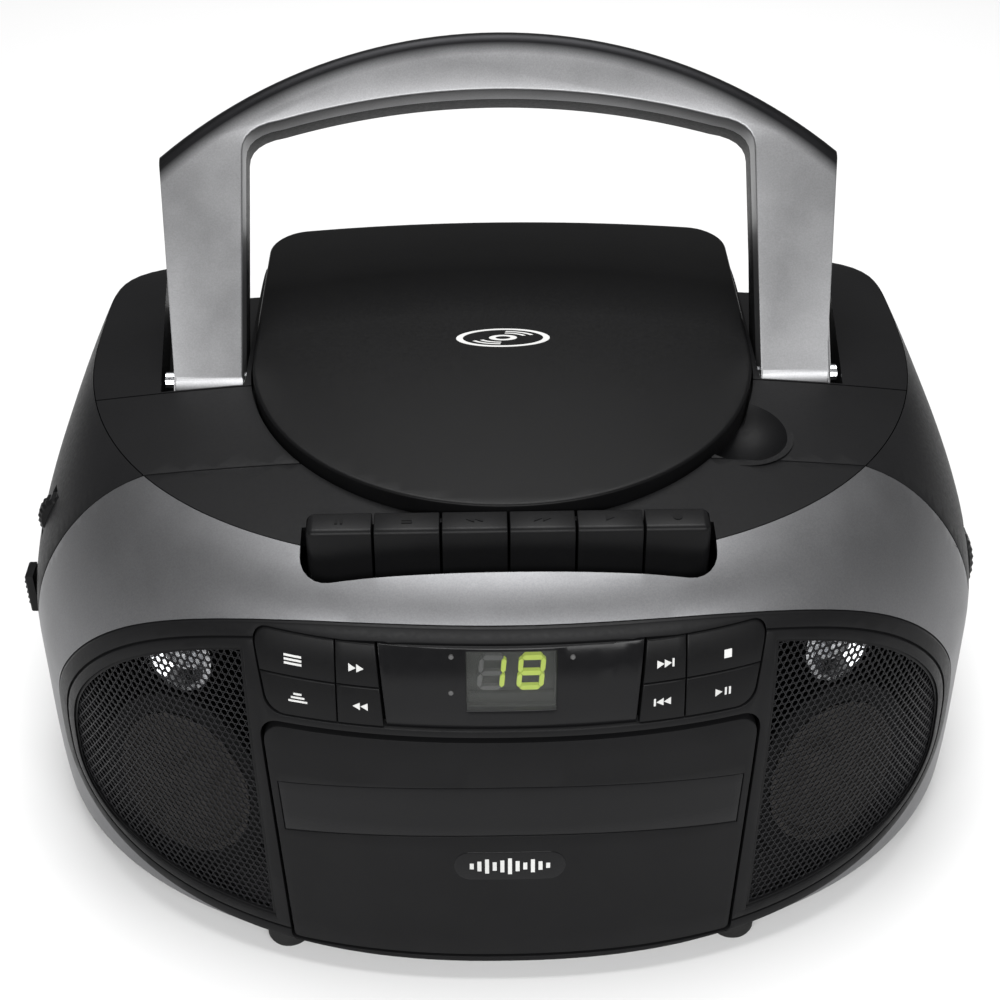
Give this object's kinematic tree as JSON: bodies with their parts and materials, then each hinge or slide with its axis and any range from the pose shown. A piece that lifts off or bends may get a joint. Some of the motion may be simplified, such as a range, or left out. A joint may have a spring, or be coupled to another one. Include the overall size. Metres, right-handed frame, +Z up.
{
  "type": "portable radio cassette player",
  "caption": "Portable music player with top-loading disc lid, front cassette door, two round-cornered speaker grilles, top keys and a swinging carry handle.",
  "frame": {"origin": "on the table under the middle of the player", "axes": "+Z up, -Y out of the front with the cassette door, +X to the right of someone facing the front"},
  "size_m": [0.3198, 0.2332, 0.2211],
  "materials": {
    "charcoal_cabinet": "satin metallic charcoal paint on moulded ABS",
    "black_cabinet": "fine textured black ABS",
    "black_deck": "fine spark-textured black ABS",
    "black_lid": "smooth satin black ABS",
    "black_bezel": "satin black ABS",
    "black_button": "satin black moulded keys with printed white symbols",
    "gloss_panel": "polished black acrylic",
    "smoked_window": "clear smoked acrylic",
    "lit_digits": "seven-segment display, lit yellow-green",
    "grille_mesh": "black painted perforated steel",
    "soft_knob": "ribbed black plastic",
    "rubber_foot": "moulded black rubber",
    "bright_metal": "bright plated steel",
    "paper_cone": "pressed paper cone with cloth surround",
    "circuit_board": "green solder-masked board with components"
  },
  "bodies": {
    "case": {"front_cabinet": "charcoal_cabinet", "rear_cabinet": "black_cabinet", "front_deck": "black_deck", "rear_deck": "black_deck", "front_bezel": "black_bezel", "left_grille": "grille_mesh", "right_grille": "grille_mesh", "display_panel": "gloss_panel", "display_window": "smoked_window", "digit_display": "lit_digits", "disc_well": "black_deck", "front_left_foot": "rubber_foot", "front_right_foot": "rubber_foot", "rear_left_foot": "rubber_foot", "rear_right_foot": "rubber_foot", "battery_tray": "black_cabinet", "mains_inlet": "black_bezel", "headphone_jack": "bright_metal", "left_speaker_basket": "black_bezel", "right_speaker_basket": "black_bezel", "left_speaker_cone": "paper_cone", "right_speaker_cone": "paper_cone", "left_tweeter": "bright_metal", "right_tweeter": "bright_metal", "tape_chassis": "bright_metal", "main_board": "circuit_board"},
    "handle": {"handle_front": "charcoal_cabinet", "handle_back": "black_cabinet", "left_handle_pin": "bright_metal", "right_handle_pin": "bright_metal"},
    "disc_lid": {"disc_lid": "black_lid"},
    "cassette_door": {"cassette_door": "black_bezel", "cassette_window": "gloss_panel"},
    "pause_key": {"pause_key": "black_button"},
    "stop_eject_key": {"stop_eject_key": "black_button"},
    "rewind_key": {"rewind_key": "black_button"},
    "fast_forward_key": {"fast_forward_key": "black_button"},
    "play_key": {"play_key": "black_button"},
    "record_key": {"record_key": "black_button"},
    "program_button": {"program_button": "black_button"},
    "stop_button": {"stop_button": "black_button"},
    "repeat_button": {"repeat_button": "black_button"},
    "play_pause_button": {"play_pause_button": "black_button"},
    "folder_up_button": {"folder_up_button": "black_button"},
    "skip_next_button": {"skip_next_button": "black_button"},
    "folder_down_button": {"folder_down_button": "black_button"},
    "skip_back_button": {"skip_back_button": "black_button"},
    "volume_wheel": {"volume_wheel": "soft_knob"},
    "tuning_dial": {"tuning_dial": "soft_knob"},
    "function_switch": {"function_switch": "soft_knob"},
    "band_switch": {"band_switch": "soft_knob"},
    "battery_door": {"battery_door": "black_cabinet"},
    "antenna": {"antenna_swivel": "bright_metal", "antenna_mast": "bright_metal"},
    "antenna_tip": {"antenna_tip": "bright_metal"},
    "disc_hub": {"disc_hub": "black_deck"},
    "laser_sled": {"laser_sled": "bright_metal"},
    "supply_spindle": {"supply_spindle": "black_bezel"},
    "take_up_spindle": {"take_up_spindle": "black_bezel"},
    "capstan": {"capstan": "bright_metal"}
  },
  "joints": [
    {"name": "handle_swing", "type": "hinge", "parent": "case", "child": "handle", "pos_m": [0, 0.0315, 0.1275], "axis": [1, 0, 0], "range_deg": [-48, 42]},
    {"name": "disc_lid_hinge", "type": "hinge", "parent": "case", "child": "disc_lid", "pos_m": [0, 0.105, 0.1385], "axis": [-1, 0, 0], "range_deg": [0, 40]},
    {"name": "cassette_door_hinge", "type": "hinge", "parent": "case", "child": "cassette_door", "pos_m": [0, -0.112, 0.0105], "axis": [1, 0, 0], "range_deg": [0, 25]},
    {"name": "pause_key_press", "type": "slide", "parent": "case", "child": "pause_key", "axis": [0, 0, -1], "range_m": [0, 0.004], "stiffness_N_per_m": 300},
    {"name": "stop_eject_key_press", "type": "slide", "parent": "case", "child": "stop_eject_key", "axis": [0, 0, -1], "range_m": [0, 0.004], "stiffness_N_per_m": 300},
    {"name": "rewind_key_press", "type": "slide", "parent": "case", "child": "rewind_key", "axis": [0, 0, -1], "range_m": [0, 0.004], "stiffness_N_per_m": 300},
    {"name": "fast_forward_key_press", "type": "slide", "parent": "case", "child": "fast_forward_key", "axis": [0, 0, -1], "range_m": [0, 0.004], "stiffness_N_per_m": 300},
    {"name": "play_key_press", "type": "slide", "parent": "case", "child": "play_key", "axis": [0, 0, -1], "range_m": [0, 0.004], "stiffness_N_per_m": 300},
    {"name": "record_key_press", "type": "slide", "parent": "case", "child": "record_key", "axis": [0, 0, -1], "range_m": [0, 0.004], "stiffness_N_per_m": 300},
    {"name": "program_button_press", "type": "slide", "parent": "case", "child": "program_button", "axis": [0, 1, 0], "range_m": [0, 0.0012], "stiffness_N_per_m": 500},
    {"name": "stop_button_press", "type": "slide", "parent": "case", "child": "stop_button", "axis": [0, 1, 0], "range_m": [0, 0.0012], "stiffness_N_per_m": 500},
    {"name": "repeat_button_press", "type": "slide", "parent": "case", "child": "repeat_button", "axis": [0, 1, 0], "range_m": [0, 0.0012], "stiffness_N_per_m": 500},
    {"name": "play_pause_button_press", "type": "slide", "parent": "case", "child": "play_pause_button", "axis": [0, 1, 0], "range_m": [0, 0.0012], "stiffness_N_per_m": 500},
    {"name": "folder_up_button_press", "type": "slide", "parent": "case", "child": "folder_up_button", "axis": [0, 1, 0], "range_m": [0, 0.0012], "stiffness_N_per_m": 500},
    {"name": "skip_next_button_press", "type": "slide", "parent": "case", "child": "skip_next_button", "axis": [0, 1, 0], "range_m": [0, 0.0012], "stiffness_N_per_m": 500},
    {"name": "folder_down_button_press", "type": "slide", "parent": "case", "child": "folder_down_button", "axis": [0, 1, 0], "range_m": [0, 0.0012], "stiffness_N_per_m": 500},
    {"name": "skip_back_button_press", "type": "slide", "parent": "case", "child": "skip_back_button", "axis": [0, 1, 0], "range_m": [0, 0.0012], "stiffness_N_per_m": 500},
    {"name": "volume_turn", "type": "hinge", "parent": "case", "child": "volume_wheel", "pos_m": [-0.1434, -0.002, 0.097], "axis": [0, 1, 0], "range_deg": [-135, 135]},
    {"name": "tuning_turn", "type": "hinge", "parent": "case", "child": "tuning_dial", "pos_m": [0.12895, -0.004, 0.072], "axis": [0, 1, 0], "range_deg": [-150, 150]},
    {"name": "function_slide", "type": "slide", "parent": "case", "child": "function_switch", "axis": [0, 0, 1], "range_m": [-0.005, 0.005]},
    {"name": "band_slide", "type": "slide", "parent": "case", "child": "band_switch", "axis": [0, 0, 1], "range_m": [-0.005, 0.005]},
    {"name": "battery_door_hinge", "type": "hinge", "parent": "case", "child": "battery_door", "pos_m": [0, 0.1108, 0.014], "axis": [-1, 0, 0], "range_deg": [0, 90]},
    {"name": "antenna_swing", "type": "hinge", "parent": "case", "child": "antenna", "pos_m": [0.074, 0.1151, 0.104], "axis": [0, 0.9397, -0.342], "range_deg": [0, 180]},
    {"name": "antenna_extend", "type": "slide", "parent": "antenna", "child": "antenna_tip", "axis": [-1, 0, 0], "range_m": [0, 0.1]},
    {"name": "disc_spin", "type": "hinge", "parent": "case", "child": "disc_hub", "pos_m": [0, 0.032, 0.114], "axis": [0, 0, 1], "continuous": true},
    {"name": "laser_travel", "type": "slide", "parent": "case", "child": "laser_sled", "axis": [0, -1, 0], "range_m": [0, 0.022]},
    {"name": "supply_spin", "type": "hinge", "parent": "case", "child": "supply_spindle", "pos_m": [-0.02125, -0.07892, 0.044], "axis": [0, 0.9781, -0.2079], "continuous": true},
    {"name": "take_up_spin", "type": "hinge", "parent": "case", "child": "take_up_spindle", "pos_m": [0.02125, -0.07892, 0.044], "axis": [0, 0.9781, -0.2079], "continuous": true},
    {"name": "capstan_spin", "type": "hinge", "parent": "case", "child": "capstan", "pos_m": [0.018, -0.08349, 0.02248], "axis": [0, 0.9781, -0.2079], "continuous": true}
  ]
}
